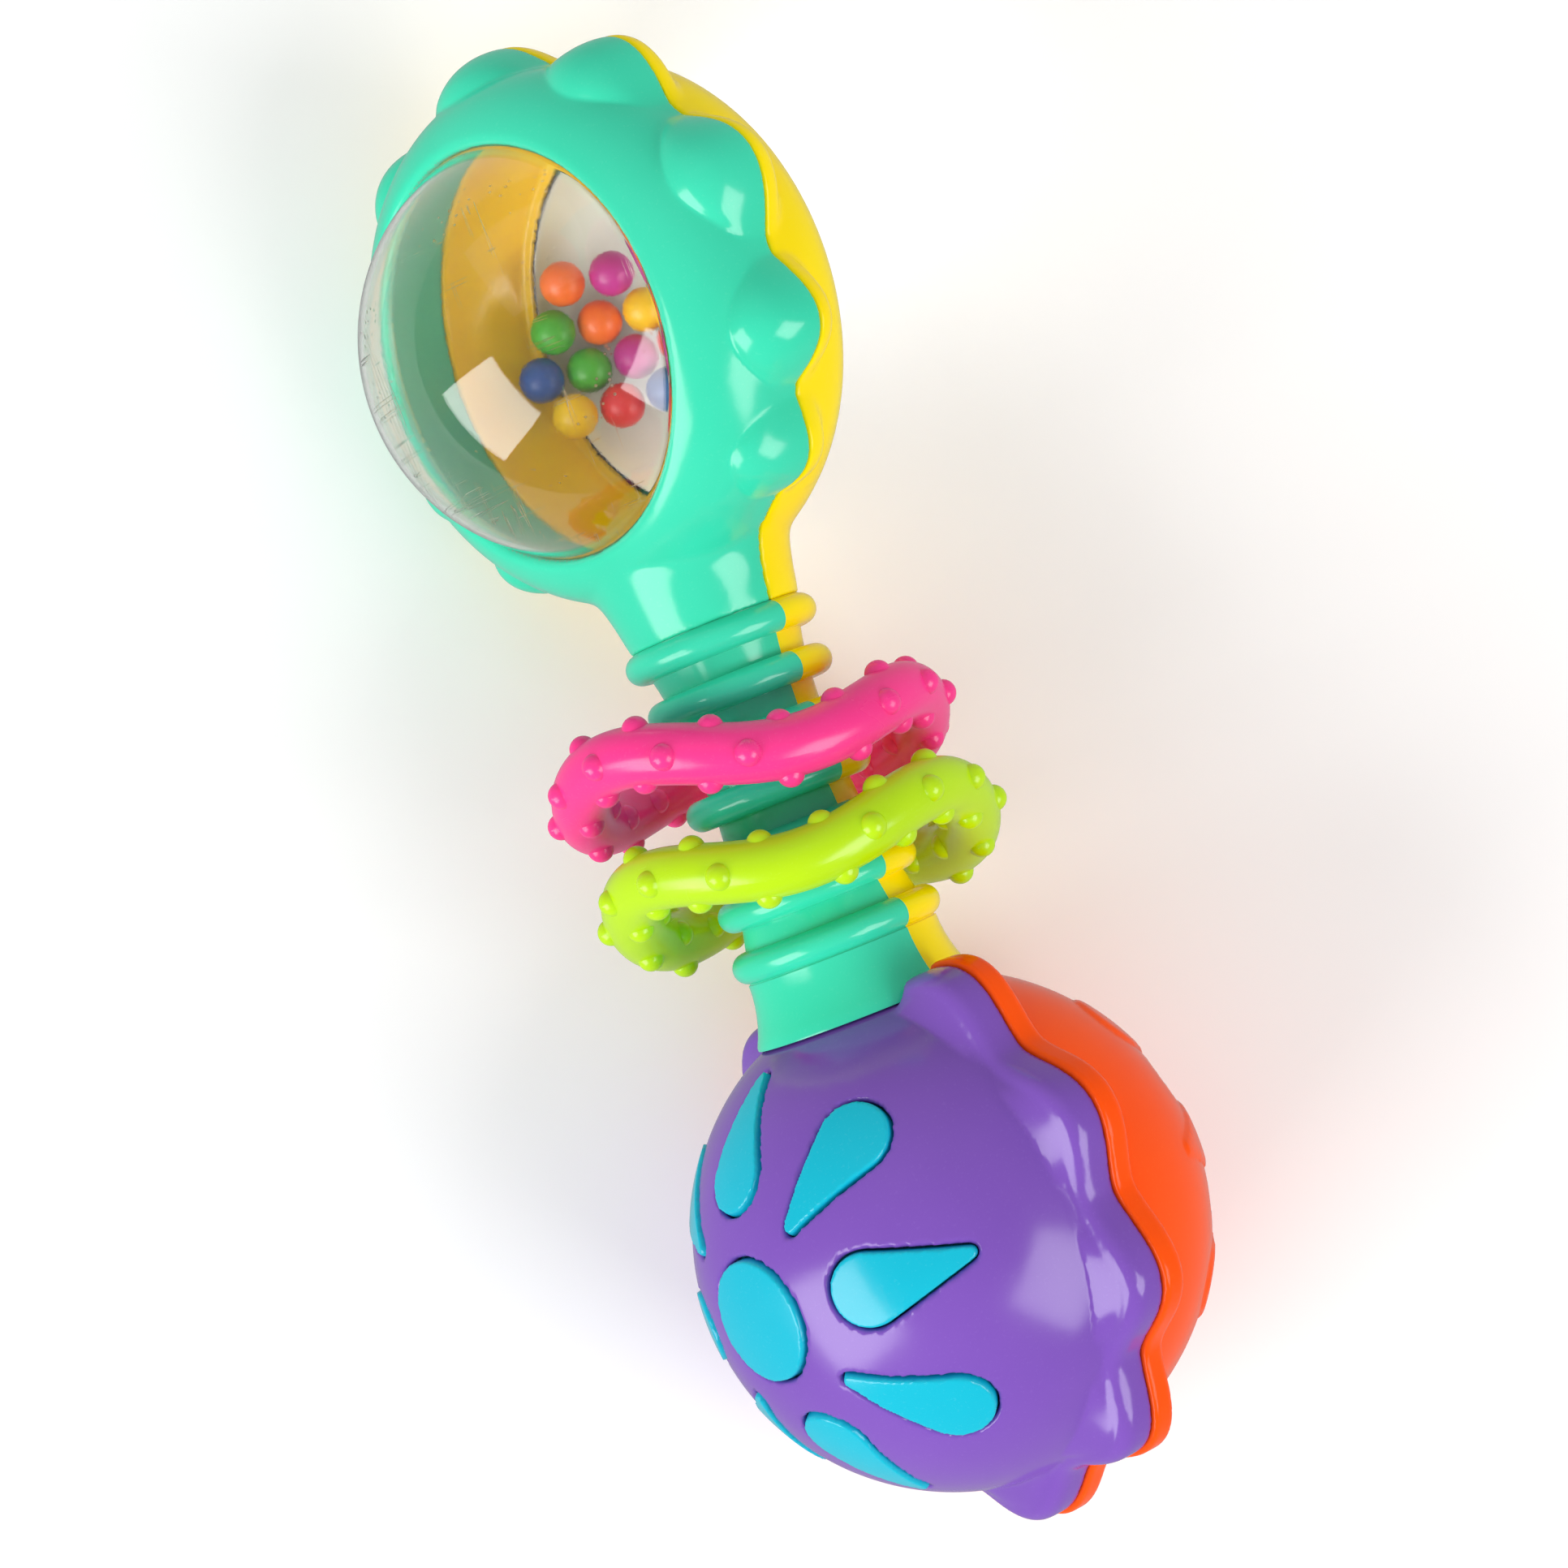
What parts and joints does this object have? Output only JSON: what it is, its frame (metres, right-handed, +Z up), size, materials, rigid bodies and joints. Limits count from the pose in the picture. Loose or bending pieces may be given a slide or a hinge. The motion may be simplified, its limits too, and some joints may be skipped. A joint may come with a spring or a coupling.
{
  "type": "baby rattle",
  "caption": "Dumbbell-shaped baby rattle with a windowed bead head, ribbed grip, loose wavy grab rings and a twist-and-click petal ball.",
  "frame": {"origin": "centre of the toy's footprint on the table, at table height, as it rests on the ball's side and the head's rear rim", "axes": "+Y along the handle towards the bead head (it dips 1.16 degrees towards the head); +Z up from the table; the front face looks up and towards -X, 47.75 degrees from vertical"},
  "size_m": [0.0628, 0.1878, 0.0628],
  "materials": {
    "mint_plastic": "glossy moulded ABS",
    "yellow_plastic": "glossy moulded ABS",
    "clear_plastic": "clear moulded polycarbonate, lightly scuffed",
    "pink_plastic": "glossy soft plastic",
    "lime_plastic": "glossy soft plastic",
    "purple_plastic": "glossy moulded ABS",
    "orange_plastic": "glossy moulded ABS",
    "cyan_plastic": "semi-gloss moulded ABS",
    "white_nylon": "moulded nylon",
    "screw_steel": "zinc-plated steel",
    "bead_orange": "moulded bead",
    "bead_magenta": "moulded bead",
    "bead_yellow": "moulded bead",
    "bead_green": "moulded bead",
    "bead_blue": "moulded bead",
    "bead_red": "moulded bead"
  },
  "bodies": {
    "handle": {"front_shell": "mint_plastic", "rear_shell": "yellow_plastic", "front_window": "clear_plastic", "rear_window": "clear_plastic", "swivel_shaft": "white_nylon", "click_wheel": "white_nylon", "wheel_screw": "screw_steel", "thrust_washer": "screw_steel"},
    "ball": {"ball_front_shell": "purple_plastic", "ball_rear_shell": "orange_plastic", "petal_liner": "cyan_plastic", "click_pawl": "white_nylon", "ball_screws": "screw_steel"},
    "pink_ring": {"pink_ring": "pink_plastic"},
    "lime_ring": {"lime_ring": "lime_plastic"},
    "bead_01": {"bead_01": "bead_orange"},
    "bead_02": {"bead_02": "bead_magenta"},
    "bead_03": {"bead_03": "bead_yellow"},
    "bead_04": {"bead_04": "bead_orange"},
    "bead_05": {"bead_05": "bead_green"},
    "bead_06": {"bead_06": "bead_green"},
    "bead_07": {"bead_07": "bead_magenta"},
    "bead_08": {"bead_08": "bead_red"},
    "bead_09": {"bead_09": "bead_blue"},
    "bead_10": {"bead_10": "bead_blue"},
    "bead_11": {"bead_11": "bead_red"},
    "bead_12": {"bead_12": "bead_yellow"}
  },
  "joints": [
    {"name": "ball_twist", "type": "hinge", "parent": "handle", "child": "ball", "pos_m": [-0.00005, -0.05733, 0.03145], "axis": [0, 0.9998, -0.0202], "continuous": true},
    {"name": "pink_ring_slide", "type": "slide", "parent": "handle", "child": "pink_ring", "axis": [0, 0.9998, -0.0202], "range_m": [-0.0008, 0.015]},
    {"name": "lime_ring_slide", "type": "slide", "parent": "handle", "child": "lime_ring", "axis": [0, 0.9998, -0.0202], "range_m": [-0.008, 0.0008]},
    {"name": "bead_01_hop", "type": "slide", "parent": "handle", "child": "bead_01", "axis": [0, 0.0202, 0.9998], "range_m": [0, 0.04325]},
    {"name": "bead_02_hop", "type": "slide", "parent": "handle", "child": "bead_02", "axis": [0, 0.0202, 0.9998], "range_m": [0, 0.0425]},
    {"name": "bead_03_hop", "type": "slide", "parent": "handle", "child": "bead_03", "axis": [0, 0.0202, 0.9998], "range_m": [0, 0.04375]},
    {"name": "bead_04_hop", "type": "slide", "parent": "handle", "child": "bead_04", "axis": [0, 0.0202, 0.9998], "range_m": [0, 0.047]},
    {"name": "bead_05_hop", "type": "slide", "parent": "handle", "child": "bead_05", "axis": [0, 0.0202, 0.9998], "range_m": [0, 0.04525]},
    {"name": "bead_06_hop", "type": "slide", "parent": "handle", "child": "bead_06", "axis": [0, 0.0202, 0.9998], "range_m": [0, 0.04775]},
    {"name": "bead_07_hop", "type": "slide", "parent": "handle", "child": "bead_07", "axis": [0, 0.0202, 0.9998], "range_m": [0, 0.04675]},
    {"name": "bead_08_hop", "type": "slide", "parent": "handle", "child": "bead_08", "axis": [0, 0.0202, 0.9998], "range_m": [0, 0.043]},
    {"name": "bead_09_hop", "type": "slide", "parent": "handle", "child": "bead_09", "axis": [0, 0.0202, 0.9998], "range_m": [0, 0.04525]},
    {"name": "bead_10_hop", "type": "slide", "parent": "handle", "child": "bead_10", "axis": [0, 0.0202, 0.9998], "range_m": [0, 0.04275]},
    {"name": "bead_11_hop", "type": "slide", "parent": "handle", "child": "bead_11", "axis": [0, 0.0202, 0.9998], "range_m": [0, 0.04575]},
    {"name": "bead_12_hop", "type": "slide", "parent": "handle", "child": "bead_12", "axis": [0, 0.0202, 0.9998], "range_m": [0, 0.044]}
  ]
}
